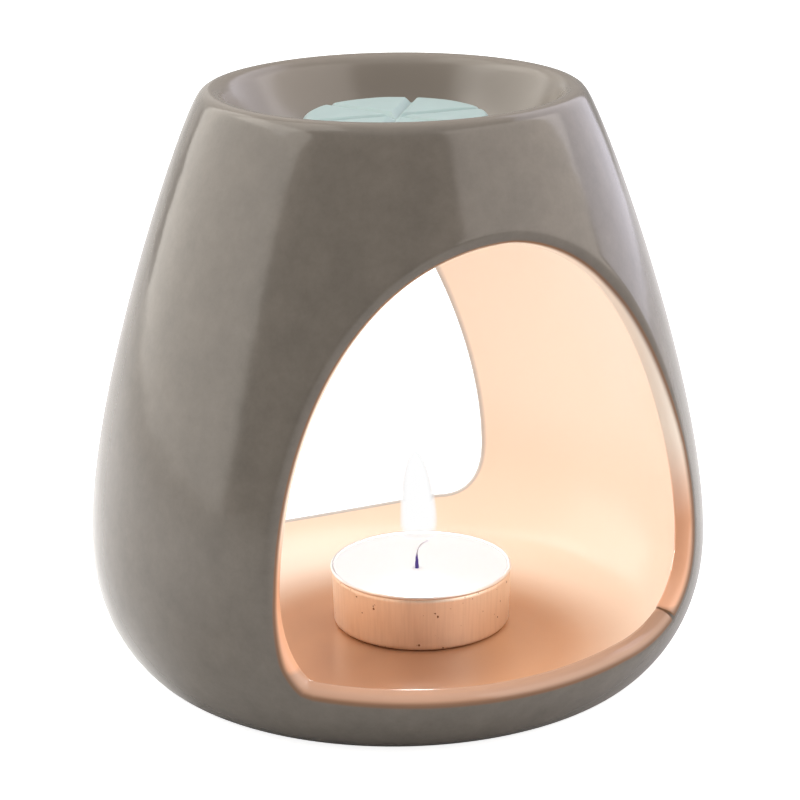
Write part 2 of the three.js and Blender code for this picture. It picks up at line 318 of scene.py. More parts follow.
# The chamber's face of the wall, square through the wall from the outside at each height
inner_wall = []
for before, place, after in zip(outer_profile, outer_profile[1:], outer_profile[2:]):
    if pattern_low <= place.y <= pattern_high:
        way = (after - before).normalized()
        inward = Vector((-way.y, way.x, 0))
        inner_wall.append((place.y, place + wall_thickness * inward))
inner_foot = inner_wall[0][1]
foot_way = (inner_wall[1][1] - inner_foot).normalized()
spring = inner_wall[-1][1]
spring_way = (spring - inner_wall[-2][1]).normalized()
vault = curve(
    spring.xy,
    (spring + vault_spring_handle * spring_way).xy,
    (dish_floor_radius + vault_ceiling_handle, ceiling_height),
    (dish_floor_radius, ceiling_height),
)
bowl = curve(
    (chamber_floor_radius, floor_height),
    (chamber_floor_radius + chamber_floor_handle, floor_height),
    (inner_foot - chamber_wall_handle * foot_way).xy,
    inner_foot.xy,
)
dish = curve(
    rim[-1].xy,
    (
        rim[-1].x - dish_high_handle * math.sin(rim_inner_lean),
        rim[-1].y + dish_high_handle * math.cos(rim_inner_lean),
    ),
    (dish_floor_radius + dish_low_handle, dish_floor_height),
    (dish_floor_radius, dish_floor_height),
)


def unroll(below, wall, above):
    """Extends the wall's places up the flat pattern over what lies below and above it."""
    pattern = list(wall)
    for place in above:
        level, last = pattern[-1]
        pattern.append((level + (place - last).length, place))
    for place in reversed(below):
        level, last = pattern[0]
        pattern.insert(0, (level - (place - last).length, place))
    return pattern


def at_level(pattern, level):
    """Radius and height of an unrolled profile at one place up the flat pattern."""
    after = bisect_left(pattern, level, key=lambda pair: pair[0])
    after = min(max(after, 1), len(pattern) - 1)
    (low, low_place), (high, high_place) = pattern[after - 1], pattern[after]
    return low_place.lerp(high_place, (level - low) / (high - low))


outer_wall = [(p.y, p) for p in outer_profile if pattern_low <= p.y <= pattern_high]
outer_pattern = unroll(
    [p for p in foot if p.y < pattern_low],
    outer_wall,
    [p for p in side if p.y > pattern_high] + rim[1:],
)
inner_pattern = unroll(bowl[:-1], inner_wall, vault[1:])


def opening_side(crown, sill, half_width, widest, sill_half_width, handles):
    """One side of an opening on the flat pattern, from the crown of its arch to the sill."""
    arch_handle, side_handle, corner_handle, sill_handle = handles
    arch = curve(
        crown, (crown[0] + arch_handle, crown[1]), (half_width, widest + side_handle),
        (half_width, widest), count=120,
    )
    corner = curve(
        (half_width, widest), (half_width, widest - corner_handle),
        (sill_half_width + sill_handle, sill), (sill_half_width, sill),
        count=60,
    )
    return arch + corner[1:]


def opening_outline(right, left, sill_sag):
    """Closed outline of an opening from its sides, with the sagging sill between them."""
    mirrored = [Vector((-place.x, place.y, 0)) for place in reversed(left)]
    steps = 60
    sill = []
    for i in range(1, steps):
        share = i / steps
        sag = Vector((0, 4 * sill_sag * share * (1 - share), 0))
        sill.append(right[-1].lerp(mirrored[0], share) - sag)
    return right + sill + mirrored[:-1]


def outward_ways(outline):
    """Directions out of a closed outline, one for each point."""
    around = zip(outline[-1:] + outline[:-1], outline[1:] + outline[:1])
    return [Vector((before.y - after.y, after.x - before.x, 0)).normalized() for before, after in around]


half_turn = math.pi * belly_radius / 2
frame_corners = [
    Vector((-half_turn, pattern_top, 0)),
    Vector((half_turn, pattern_top, 0)),
    Vector((half_turn, pattern_bottom, 0)),
    Vector((-half_turn, pattern_bottom, 0)),
]
frame_steps = [turn_steps // 2, upright_steps, turn_steps // 2, upright_steps]
pattern_frame = []
for start, end, steps in zip(frame_corners, frame_corners[1:] + frame_corners[:1], frame_steps):
    pattern_frame += [start.lerp(end, i / steps) for i in range(steps)]

# How far the outside's taupe pulls over the cut edge's rounding where it wasn't wiped back
taupe_pull = 0.45

# Rings from the chamber's wall, round the cut edge and out over the outside: how far each
# has gone towards the pattern's frame, its spread from the outline, its depth from the
# chamber's face (or, below zero, from the outside), and its share of the chamber's glaze
inner_rings = 20
outer_rings = 28
edge_rings = 8
just_inside = 1e-6
rings = [(1 - i / inner_rings, inner_edge_round, 0, 2 - i / inner_rings) for i in range(inner_rings)]
for i in range(edge_rings + 1):
    turn = math.pi / 2 * i / edge_rings
    spread = inner_edge_round * (1 - math.sin(turn))
    rings.append((0, spread, inner_edge_round * (1 - math.cos(turn)), 1))
for i in range(edge_rings + 1):
    turn = math.pi / 2 * i / edge_rings
    spread = outer_edge_round * (1 - math.cos(turn))
    depth = -outer_edge_round * (1 - math.sin(turn)) - just_inside
    rings.append((0, spread, depth, 1 - i / edge_rings))
rings += [(i / outer_rings, outer_edge_round, -just_inside, 0) for i in range(1, outer_rings + 1)]

# The crease where the cut of the right jamb met that of the sill: the sill side sits lower.
# The grid gets extra columns there, at these distances from it along the edge
crease_bearing_from_top = 2.229
crease_reach = 51
crease_step = 0.5
crease_fade = 3.5
crease_width = 0.3
crease_depth = 0.3
crease_darkening = 0.72
crease_columns = [-2.4, -1.2, -0.6, -0.3, -0.15, 0, 0.15, 0.3, 0.45, 0.7, 1.1, 1.7, 2.5]

body = bmesh.new()
glaze_layer = body.verts.layers.float.new("chamber_glaze")


def bearing_of(place):
    """Direction of a place from the middle of the flat pattern, clockwise from its top left."""
    first = math.atan2(-half_turn, pattern_top - pattern_middle)
    return (math.atan2(place.x, place.y - pattern_middle) - first) % (2 * math.pi)


def ramp(value, start, end):
    """0 before the start and 1 past the end, straight between."""
    return min(1.0, max(0.0, (value - start) / (end - start)))


def outline_at(outline, ways, bearings, bearing):
    """Place on an outline, and its outward way, in one direction from the middle."""
    after = bisect_left(bearings, bearing)
    before = after - 1
    low = bearings[before] - (2 * math.pi if after == 0 else 0)
    high = bearings[after % len(outline)] + (2 * math.pi if after == len(outline) else 0)
    after %= len(outline)
    share = (bearing - low) / (high - low)
    return outline[before].lerp(outline[after], share), ways[before].lerp(ways[after], share).normalized()


def add_wall_half(facing, outline, wiped, creased=None):
    """Half of the wall round one opening, from a flat grid rolled onto the profiles.

    wiped gives how clean of taupe the edge is at a place, 1 where it was wiped and below 0
    where the taupe runs right over it, and creased the bearing of a crease across the edge.
    """
    outline = sorted(outline, key=bearing_of)
    bearings = [bearing_of(place) for place in outline]
    ways = outward_ways(outline)
    columns = [(bearing_of(corner), corner) for corner in pattern_frame]
    if creased is not None:
        for aside in crease_columns:
            bearing = creased + aside / crease_reach
            columns.append((bearing, min(pattern_frame, key=lambda p: abs(bearing_of(p) - bearing))))
        columns.sort(key=lambda column: column[0])
    made = bmesh.ops.create_grid(body, x_segments=len(columns), y_segments=len(rings) - 1, size=1)
    edge = [outline_at(outline, ways, bearings, bearing) for bearing, corner in columns]
    for corner in made["verts"]:
        column = round((corner.co.x + 1) / 2 * len(columns)) % len(columns)
        reach, spread, depth, chamber = rings[round((corner.co.y + 1) / 2 * (len(rings) - 1))]
        place, way = edge[column]
        bearing, frame_corner = columns[column]
        if depth < 0 < chamber:
            chamber = max(0.0, chamber - taupe_pull * (1 - wiped(place)))
        if creased is not None:
            aside = (bearing - creased) * crease_reach
            step = crease_step * math.exp(-aside / crease_fade) if aside > 0 else 0
            nick = math.exp(-((aside / crease_width) ** 2))
            spread += step * ramp(aside, 0, crease_width) + crease_depth * nick
            # Along the crease the edge's tone goes darker and browner
            if chamber <= 1:
                chamber *= 1 - crease_darkening * nick
        flat = (place + spread * way).lerp(frame_corner, reach)
        inner = at_level(inner_pattern, flat.y)
        outer = at_level(outer_pattern, flat.y)
        share = depth / (outer - inner).length
        section = inner.lerp(outer, share if depth >= 0 else 1 + share)
        turn = facing + flat.x / belly_radius
        corner.co = (section.x * math.sin(turn), -section.x * math.cos(turn), section.y)
        corner[glaze_layer] = chamber


def add_turned(shape, profile, steps, **layers):
    """Spins a profile of radius and height points a full turn about the Z axis."""
    places = [shape.verts.new((0, -place[0], place[1])) for place in profile]
    edges = [shape.edges.new(pair) for pair in zip(places, places[1:])]
    for name, value in layers.items():
        layer = shape.verts.layers.float[name]
        for place in places:
            place[layer] = value
    bmesh.ops.spin(
        shape, geom=places + edges, cent=(0, 0, 0), axis=(0, 0, 1), angle=2 * math.pi,
        steps=steps, use_merge=True,
    )


def thin(points, reach):
    """Drops points that stand closer than reach to the one kept before them."""
    kept = [points[0]]
    for place in points[1:-1]:
        if (place - kept[-1]).length >= reach and (place - points[-1]).length >= reach / 2:
            kept.append(place)
    return kept + [points[-1]]


outer_top = at_level(outer_pattern, pattern_top)
outer_bottom = at_level(outer_pattern, pattern_bottom)
inner_top = at_level(inner_pattern, pattern_top)
inner_bottom = at_level(inner_pattern, pattern_bottom)
crown = [outer_top] + [p for p in outer_profile if p.y > outer_top.y] + rim[1:] + dish[1:]
base = [p for p in outer_profile if p.x < outer_bottom.x and p.y < outer_bottom.y] + [outer_bottom]
ceiling = [inner_top] + [p for level, p in inner_pattern if level > pattern_top]
flat_steps = 5
outside_step = 0.7
chamber_step = 0.9


def flat_disc(radius, height):
    """Points from the axis out to the radius at one height."""
    return [Vector((radius * i / flat_steps, height, 0)) for i in range(flat_steps)]


dish_flat = list(reversed(flat_disc(dish_floor_radius, dish_floor_height)))
add_turned(body, thin(crown, outside_step) + dish_flat, turn_steps, chamber_glaze=0.0)
add_turned(body, flat_disc(foot_radius, 0) + thin(base, outside_step), turn_steps, chamber_glaze=0.0)
ceiling_flat = list(reversed(flat_disc(dish_floor_radius, ceiling_height)))
add_turned(body, thin(ceiling, chamber_step) + ceiling_flat, turn_steps, chamber_glaze=2.0)
floor_edge = [p for level, p in inner_pattern if level < pattern_bottom] + [inner_bottom]
floor_flat = flat_disc(chamber_floor_radius, floor_height)
add_turned(body, floor_flat + thin(floor_edge, chamber_step), turn_steps, chamber_glaze=2.0)

front_right = opening_side(
    crown=(4, 98.3), sill=15.2, half_width=52, widest=44, sill_half_width=24.3,
    handles=(6.8, 50, 16.6, 21.1),
)
front_left = opening_side(
    crown=(-4, 98.3), sill=15.2, half_width=51.4, widest=35.9, sill_half_width=45,
    handles=(25.7, 49.8, 13.1, 1.1),
)
front_outline = opening_outline(front_right, front_left, sill_sag=1.4)
back_side = opening_side(
    crown=(0, 98.2), sill=10.5, half_width=48, widest=23.7, sill_half_width=35.6,
    handles=(28, 37.8, 12.2, 4.9),
)
back_outline = opening_outline(back_side, back_side, sill_sag=3.5)


def front_wiped(place):
    """The taupe glaze was wiped back along the sill and the right jamb."""
    sill = ramp(place.x, -57, -49) * ramp(place.y, 35, 20)
    right_jamb = ramp(place.x, 30, 40) * ramp(place.y, 88, 50)
    return max(sill, right_jamb)


def back_wiped(place):
    """At the back the taupe runs over the whole cut edge."""
    return -1.0


crease = Vector((math.sin(crease_bearing_from_top), math.cos(crease_bearing_from_top), 0))
add_wall_half(0, front_outline, front_wiped, bearing_of(crease + Vector((0, pattern_middle, 0))))
add_wall_half(math.pi, back_outline, back_wiped)


merge_reach = 0.004


def finish_piece(name, shape, material, body_name):
    """Closes a mesh made in millimetres, turns its faces out and puts it in the scene."""
    bmesh.ops.remove_doubles(shape, verts=shape.verts, dist=merge_reach)
    bmesh.ops.dissolve_degenerate(shape, edges=shape.edges, dist=merge_reach / 4)
    bmesh.ops.recalc_face_normals(shape, faces=shape.faces)
    bmesh.ops.scale(shape, vec=(mm, mm, mm), verts=shape.verts)
    for face in shape.faces:
        face.smooth = True
    mesh = bpy.data.meshes.new(name)
    shape.to_mesh(mesh)
    shape.free()
    mesh.materials.append(material)
    piece = bpy.data.objects.new(name, mesh)
    bpy.context.scene.collection.objects.link(piece)
    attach(piece, body_name)
    return piece


# The glaze: a glassy skin that mirrors the lamps in clear bands; a faintly clouded taupe
# outside, cream in the chamber, and on the chamber's floor deeper where it pooled, with painted
# shade round the cup
taupe = linear("#615b54")
taupe_thin = linear("#6d665e")
# Painted light: the taupe in the dish and over its rim, paler as if lit from above
taupe_dish_painted_light = linear("#7b736a")
chamber_cream = linear("#f3e7da")
chamber_low_shade = linear("#f3e1d1")
chamber_pool_and_shade = linear("#cf9e7a")
chamber_painted_shadow = linear("#ad8063")
edge_sill = linear("#bf9880")
edge_sill_right_shade = linear("#a9866f")
# The lower jamb's terracotta, painted brighter as painted light
edge_corner_and_light = linear("#e3ab89")
edge_back = linear("#bfbcba")
edge_jamb_painted_light = linear("#fcefe0")
edge_brown = linear("#7a5840")

glaze = bpy.data.materials.new("stoneware_glaze")
tree = new_tree(glaze)
place = add_node(tree, "ShaderNodeTexCoord").outputs["Object"]
cloud = add_node(
    tree, "ShaderNodeTexNoise", {"Vector": place, "Scale": 1 / (8 * mm), "Detail": 5.0, "Roughness": 0.75}
)
patchy = add_node(
    tree, "ShaderNodeMapRange", {"Value": cloud.outputs["Fac"], "From Min": 0.3, "From Max": 0.7}
)
outside = add_node(
    tree, "ShaderNodeMix", {0: patchy.outputs["Result"], 6: taupe, 7: taupe_thin}, data_type="RGBA"
)

# In the dish and over its rim the taupe is painted paler, as painted light from above, and its
# mirroring is softer
around = add_node(tree, "ShaderNodeVectorMath", {0: place, 1: (1, 1, 0)}, operation="MULTIPLY")
from_axis = add_node(tree, "ShaderNodeVectorMath", {0: around.outputs[0]}, operation="LENGTH")
where = add_node(tree, "ShaderNodeSeparateXYZ", {"Vector": place})
height = where.outputs["Z"]
within_rim = add_node(
    tree, "ShaderNodeMapRange",
    {
        "Value": from_axis.outputs["Value"], "From Min": 36.5 * mm, "From Max": 39.5 * mm,
        "To Min": 1.0, "To Max": 0.0,
    },
    interpolation_type="SMOOTHSTEP",
)
at_top = add_node(
    tree, "ShaderNodeMapRange", {"Value": height, "From Min": 90 * mm, "From Max": 100 * mm}
)
in_dish = add_node(
    tree, "ShaderNodeMath", {0: within_rim.outputs["Result"], 1: at_top.outputs["Result"]},
    operation="MULTIPLY",
)
outside = add_node(
    tree, "ShaderNodeMix", {0: in_dish.outputs[0], 6: outside.outputs[2], 7: taupe_dish_painted_light},
    data_type="RGBA",
)

# In the chamber it is cream, painted a little deeper low down as shade; on the floor it is
# deeper where the glaze pooled, painted darker round the cup as its shadow and darkest in front
# Painted shade: the floor round the cup darker, partly the pooled glaze and partly the cup's shadow
pool_and_shade_centre = Vector((-3, -12, 0)) * mm
level = add_node(tree, "ShaderNodeVectorMath", {0: place, 1: pool_and_shade_centre}, operation="SUBTRACT")
level = add_node(
    tree, "ShaderNodeVectorMath", {0: level.outputs[0], 1: (1, 1, 0)}, operation="MULTIPLY"
)
reach = add_node(tree, "ShaderNodeVectorMath", {0: level.outputs[0]}, operation="LENGTH")
pool_and_shade_across = add_node(
    tree, "ShaderNodeMapRange",
    {
        "Value": reach.outputs["Value"], "From Min": 30 * mm, "From Max": 52 * mm,
        "To Min": 1.0, "To Max": 0.0,
    },
    interpolation_type="SMOOTHSTEP",
)
low = add_node(
    tree, "ShaderNodeMapRange",
    {"Value": height, "From Min": 20 * mm, "From Max": 30 * mm, "To Min": 1.0, "To Max": 0.0},
)
pool_and_shade = add_node(
    tree, "ShaderNodeMath", {0: pool_and_shade_across.outputs["Result"], 1: low.outputs["Result"]},
    operation="MULTIPLY",
)
# Painted shadow: the floor darkest in front of the cup
painted_shadow_centre = Vector((-9, -23, 4)) * mm
from_deep = add_node(tree, "ShaderNodeVectorMath", {0: place, 1: painted_shadow_centre}, operation="DISTANCE")
painted_shadow_mask = add_node(
    tree, "ShaderNodeMapRange",
    {
        "Value": from_deep.outputs["Value"], "From Min": 9 * mm, "From Max": 26 * mm,
        "To Min": 1.0, "To Max": 0.0,
    },
    interpolation_type="SMOOTHSTEP",
)
pooled_and_shaded = add_node(
    tree, "ShaderNodeMix", {0: painted_shadow_mask.outputs["Result"], 6: chamber_pool_and_shade, 7: chamber_painted_shadow},
    data_type="RGBA",
)
# Painted shade: the cream goes deeper low on the chamber's wall
low_wall_shade = add_node(
    tree, "ShaderNodeMapRange",
    {"Value": height, "From Min": 18 * mm, "From Max": 40 * mm, "To Min": 1.0, "To Max": 0.0},
    interpolation_type="SMOOTHSTEP",
)
cream = add_node(
    tree, "ShaderNodeMix", {0: low_wall_shade.outputs["Result"], 6: chamber_cream, 7: chamber_low_shade},
    data_type="RGBA",
)
inside = add_node(
    tree, "ShaderNodeMix", {0: pool_and_shade.outputs[0], 6: cream.outputs[2], 7: pooled_and_shaded.outputs[2]},
    data_type="RGBA",
)

# Over the cut edges the tone goes from taupe through brown to the chamber's; on the front the
# sill is painted darker towards its right as shade, and the right jamb painted paler upward,
# near white at the top, as painted light
layer = add_node(tree, "ShaderNodeAttribute", attribute_name="chamber_glaze").outputs["Fac"]
# Painted light: the right jamb paler upward, near white at its top
up_jamb_light = add_node(
    tree, "ShaderNodeMapRange", {"Value": height, "From Min": 33 * mm, "From Max": 55 * mm},
    interpolation_type="SMOOTHSTEP",
)
above_crease = add_node(
    tree, "ShaderNodeMapRange", {"Value": height, "From Min": 18.5 * mm, "From Max": 19.5 * mm}
)
# Painted shade: the sill darker towards its right
along_sill = add_node(
    tree, "ShaderNodeMapRange",
    {"Value": where.outputs["X"], "From Min": -20 * mm, "From Max": 30 * mm},
)
sill_colour = add_node(
    tree, "ShaderNodeMix", {0: along_sill.outputs["Result"], 6: edge_sill, 7: edge_sill_right_shade},
    data_type="RGBA",
)
low_edge = add_node(
    tree, "ShaderNodeMix",
    {0: above_crease.outputs["Result"], 6: sill_colour.outputs[2], 7: edge_corner_and_light},
    data_type="RGBA",
)
at_back = add_node(
    tree, "ShaderNodeMapRange",
    {"Value": where.outputs["Y"], "From Min": -10 * mm, "From Max": 10 * mm},
)
front_edge = add_node(
    tree, "ShaderNodeMix", {0: up_jamb_light.outputs["Result"], 6: low_edge.outputs[2], 7: edge_jamb_painted_light},
    data_type="RGBA",
)
cut_edge = add_node(
    tree, "ShaderNodeMix", {0: at_back.outputs["Result"], 6: front_edge.outputs[2], 7: edge_back},
    data_type="RGBA",
)
deep = add_node(
    tree, "ShaderNodeMapRange", {"Value": layer, "From Min": 1.0, "From Max": 1.02},
)
inside = add_node(
    tree, "ShaderNodeMix",
    {0: deep.outputs["Result"], 6: cut_edge.outputs[2], 7: inside.outputs[2]},
    data_type="RGBA",
)
rising = add_node(
    tree, "ShaderNodeMapRange", {"Value": layer, "From Min": 0.15, "From Max": 0.3},
    interpolation_type="SMOOTHSTEP",
)
lit = add_node(
    tree, "ShaderNodeMapRange", {"Value": layer, "From Min": 0.3, "From Max": 0.6},
    interpolation_type="SMOOTHSTEP",
)
edge_colour = add_node(
    tree, "ShaderNodeMix", {0: rising.outputs["Result"], 6: outside.outputs[2], 7: edge_brown},
    data_type="RGBA",
)
colour = add_node(
    tree, "ShaderNodeMix", {0: lit.outputs["Result"], 6: edge_colour.outputs[2], 7: inside.outputs[2]},
    data_type="RGBA",
)

# The skin ripples faintly, and inside it is less glassy
ripple = add_node(
    tree, "ShaderNodeTexNoise", {"Vector": place, "Scale": 1 / (14 * mm), "Detail": 2.0}
)
ripple_bump = add_node(
    tree, "ShaderNodeBump", {"Height": ripple.outputs["Fac"], "Strength": 0.5, "Distance": 0.3 * mm}
)
satin = add_node(
    tree, "ShaderNodeMapRange",
    {"Value": layer, "From Min": 0.0, "From Max": 0.4, "To Min": 0.14, "To Max": 0.1},
)
dish_satin = add_node(
    tree, "ShaderNodeMapRange", {"Value": in_dish.outputs[0], "To Min": 0.1, "To Max": 0.22}
)
satin = add_node(
    tree, "ShaderNodeMath", {0: satin.outputs["Result"], 1: dish_satin.outputs["Result"]},
    operation="MAXIMUM",
)
dulled = add_node(
    tree, "ShaderNodeMapRange",
    {"Value": layer, "From Min": 1.0, "From Max": 1.1, "To Min": 0.1, "To Max": 0.26},
)
rough = add_node(
    tree, "ShaderNodeMath", {0: satin.outputs[0], 1: dulled.outputs["Result"]},
    operation="MAXIMUM",
)
gloss = add_node(
    tree, "ShaderNodeBsdfPrincipled",
    {
        "Base Color": colour.outputs[2], "Roughness": rough.outputs[0], "IOR": 1.5,
        "Normal": ripple_bump.outputs["Normal"],
    },
)
add_node(tree, "ShaderNodeOutputMaterial", {"Surface": gloss.outputs[0]})
ceramic = finish_piece("burner_body", body, glaze, "burner")
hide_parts("ceramic_body")


# Wax melt
# A disc of scented wax cast in a mould, mint green, scored through its top by V grooves so
# that it snaps into segments; it lies loose in the dish.
melt_low, melt_high = [Vector(corner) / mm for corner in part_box("wax_melt")]
melt_centre = (melt_low + melt_high) / 2
melt_radius = (melt_high.x - melt_low.x) / 2
melt_thickness = melt_high.z - melt_low.z
melt_edge_round = 1.4
melt_foot_round = 0.5
melt_draft = 0.9
melt_groove_half_width = 1.3
melt_groove_depth = 1.3
melt_groove_turn = math.radians(-4.8)
melt_segments = 6
groove_blunt = 0.02
groove_pinch = 0.018
groove_pinch_width = 1.3
melt_swell = 0.12
melt_swell_width = 6

melt = bmesh.new()
melt_profile = flat_disc(melt_radius - melt_draft - melt_foot_round, 0)
melt_profile += arc(
    (melt_radius - melt_draft - melt_foot_round, melt_foot_round), melt_foot_round,
    -math.pi / 2, 0, count=5,
)
melt_profile += arc(
    (melt_radius - melt_edge_round, melt_thickness - melt_edge_round), melt_edge_round,
    0, math.pi / 2, count=10,
)
top_rings = 54
melt_profile += [
    Vector(((melt_radius - melt_edge_round) * (1 - i / top_rings), melt_thickness, 0))
    for i in range(1, top_rings + 1)
]
add_turned(melt, melt_profile, 288)
groove_ways = [melt_groove_turn + math.pi * 2 * i / melt_segments for i in range(melt_segments // 2)]
for corner in melt.verts:
    x, y, z = corner.co
    aside = min(abs(y * math.cos(way) - x * math.sin(way)) for way in groove_ways)
    across = aside / melt_groove_half_width
    depth = melt_groove_depth * max(0.0, 1 - math.sqrt(across ** 2 + groove_blunt))
    upper = ramp(z, 1, melt_thickness)
    pinch = 1 - groove_pinch * math.exp(-((aside / groove_pinch_width) ** 2)) * upper
    swell = melt_swell * noise.noise(Vector((x, y, 3.0)) / melt_swell_width) * upper
    corner.co = (x * pinch, y * pinch, z - depth * upper + swell)
bmesh.ops.translate(melt, vec=(melt_centre.x, melt_centre.y, melt_low.z), verts=melt.verts)

# Cast wax: soft-edged and slightly see-through, with a faint crystal mottle
mint = linear("#9eafae")
mint_deep = linear("#93a5a4")
melt_wax = bpy.data.materials.new("mint_melt_wax")
tree = new_tree(melt_wax)
place = add_node(tree, "ShaderNodeTexCoord").outputs["Object"]
mottle = add_node(
    tree, "ShaderNodeTexNoise", {"Vector": place, "Scale": 1 / (4 * mm), "Detail": 4.0}
)
colour = add_node(
    tree, "ShaderNodeMix", {0: mottle.outputs["Fac"], 6: mint, 7: mint_deep}, data_type="RGBA"
)
grain = add_node(
    tree, "ShaderNodeTexNoise", {"Vector": place, "Scale": 1 / (1.2 * mm), "Detail": 2.0}
)
grain_bump = add_node(
    tree, "ShaderNodeBump", {"Height": grain.outputs["Fac"], "Strength": 0.3, "Distance": 0.08 * mm}
)
skin = add_node(
    tree, "ShaderNodeBsdfPrincipled",
    {
        "Base Color": colour.outputs[2], "Roughness": 0.42, "IOR": 1.44,
        "Subsurface Weight": 0.25, "Subsurface Radius": (0.6, 1.0, 0.9), "Subsurface Scale": 2 * mm,
        "Normal": grain_bump.outputs["Normal"],
    },
)
add_node(tree, "ShaderNodeOutputMaterial", {"Surface": skin.outputs[0]})
melt_piece = finish_piece("wax_melt_disc", melt, melt_wax, "melt")
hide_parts("wax_melt")


# Tealight cup
# Thin aluminium pressed into a shallow cup, its edge rolled outwards into a bead, with the
# faint upright drawing marks and small dents that such foil picks up.
cup_low, cup_high = [Vector(corner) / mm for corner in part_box("tealight_cup")]
cup_centre = (cup_low + cup_high) / 2
cup_radius = (cup_high.x - cup_low.x) / 2
cup_height = cup_high.z - cup_low.z
cup_bead = 0.38
cup_foil = 0.3
cup_foot_radius = 18.7
cup_foot_round = 0.8
cup_dent_depth = 0.07
cup_dent_width = 5
cup_dent_height = 7

cup = bmesh.new()
bead_centre = (cup_radius - cup_bead, cup_height - cup_bead)
neck_height = cup_height - 2.2 * cup_bead
cup_profile = flat_disc(cup_foot_radius - cup_foot_round, 0)
cup_profile += arc(
    (cup_foot_radius - cup_foot_round, cup_foot_round), cup_foot_round, -math.pi / 2, 0, count=6
)
cup_wall_steps = 14
cup_heel = Vector((cup_foot_radius, cup_foot_round, 0))
cup_shoulder = Vector((cup_radius - 0.3, neck_height - 0.1, 0))
cup_neck = Vector((cup_radius - 0.45, neck_height, 0))
cup_wall = [cup_heel.lerp(cup_shoulder, i / cup_wall_steps) for i in range(1, cup_wall_steps + 1)]
cup_profile += cup_wall + [cup_neck]
cup_profile += arc(bead_centre, cup_bead, -math.pi / 2.4, math.pi, count=14)
cup_profile += [Vector((place.x - cup_foil, place.y, 0)) for place in reversed(cup_wall)]
cup_profile += list(reversed(flat_disc(cup_foot_radius - cup_foot_round, cup_foil)))
add_turned(cup, cup_profile, 160)
for corner in cup.verts:
    x, y, z = corner.co
    radius = math.hypot(x, y)
    if radius > cup_foot_radius - 1 and z > cup_foot_round:
        spot = Vector((x / cup_dent_width, y / cup_dent_width, z / cup_dent_height + 9))
        dent = noise.noise(spot) * cup_dent_depth
        corner.co = (x * (1 + dent / radius), y * (1 + dent / radius), z)
bmesh.ops.translate(cup, vec=(cup_centre.x, cup_centre.y, cup_low.z), verts=cup.verts)

# Bright drawn aluminium: mirrors the warm chamber, blurred along the drawing marks, with a few
# brown specks; its tint is painted warm as a painted reflection, and the bead is painted white
# as a painted highlight of the flame
# Painted reflection: both aluminium tones tinted warm
aluminium = linear("#f9ebdd")
aluminium_dull = linear("#f3e5d7")
speck_brown = linear("#7d5a45")
aluminium_painted_highlight = linear("#f6f7fa")
foil = bpy.data.materials.new("drawn_aluminium")
tree = new_tree(foil)
place = add_node(tree, "ShaderNodeTexCoord").outputs["Object"]
around = add_node(
    tree, "ShaderNodeMapping",
    {"Vector": place, "Location": (-cup_centre.x * mm, -cup_centre.y * mm, 0), "Scale": (1, 1, 0.06)},
)
marks = add_node(
    tree, "ShaderNodeTexNoise", {"Vector": around.outputs[0], "Scale": 1 / (0.6 * mm), "Detail": 3.0}
)
marks_bump = add_node(
    tree, "ShaderNodeBump", {"Height": marks.outputs["Fac"], "Strength": 0.07, "Distance": 0.06 * mm}
)
tarnish = add_node(
    tree, "ShaderNodeTexNoise", {"Vector": place, "Scale": 1 / (5 * mm), "Detail": 4.0}
)
rough = add_node(
    tree, "ShaderNodeMapRange", {"Value": tarnish.outputs["Fac"], "To Min": 0.4, "To Max": 0.55}
)
drawn = add_node(
    tree, "ShaderNodeMapRange", {"Value": marks.outputs["Fac"], "From Min": 0.35, "From Max": 0.6}
)
shade = add_node(
    tree, "ShaderNodeMix", {0: drawn.outputs["Result"], 6: aluminium_dull, 7: aluminium},
    data_type="RGBA",
)
pits = add_node(
    tree, "ShaderNodeTexNoise", {"Vector": place, "Scale": 1 / (1.1 * mm), "Detail": 1.0}
)
pitted = add_node(
    tree, "ShaderNodeMapRange", {"Value": pits.outputs["Fac"], "From Min": 0.73, "From Max": 0.78}
)
shade = add_node(
    tree, "ShaderNodeMix", {0: pitted.outputs["Result"], 6: shade.outputs[2], 7: speck_brown},
    data_type="RGBA",
)
height = add_node(tree, "ShaderNodeSeparateXYZ", {"Vector": place}).outputs["Z"]
# Painted highlight: the bead whiter
bead_highlight = add_node(
    tree, "ShaderNodeMapRange",
    {
        "Value": height, "From Min": (cup_high.z - 1.6 * cup_bead) * mm,
        "From Max": (cup_high.z - cup_bead) * mm,
    },
)
shade = add_node(
    tree, "ShaderNodeMix", {0: bead_highlight.outputs["Result"], 6: shade.outputs[2], 7: aluminium_painted_highlight},
    data_type="RGBA",
)
metal = add_node(
    tree, "ShaderNodeBsdfPrincipled",
    {
        "Base Color": shade.outputs[2], "Metallic": 1.0, "Roughness": rough.outputs["Result"],
        "Normal": marks_bump.outputs["Normal"],
    },
)
add_node(tree, "ShaderNodeOutputMaterial", {"Surface": metal.outputs[0]})
cup_piece = finish_piece("tealight_foil_cup", cup, foil, "tealight")
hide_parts("tealight_cup")


# Candle wax
# White paraffin cast in the cup, its edge drawn up the foil and its middle melted to a
# shallow pool round the wick.
wax_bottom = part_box("candle_wax")[0][2] / mm - cup_low.z
wax_pool_height = cup_height - 1.15
wax_rim_height = cup_height - 0.25
wax_foot_gap = 1.1
wax_heel_gap = 0.7
wax_heel_height = 1.2
wax_wall_gap = 0.45
wax_lip_gap = 0.02
wax_shoulder_below = 0.8
wick_hole = 0.45
sustainer_pocket = 6.6
sustainer_pocket_height = 1.3
neck_pocket = 1.65
neck_pocket_height = 4.5
wick_offset = Vector((-0.78, 0.35, 0))

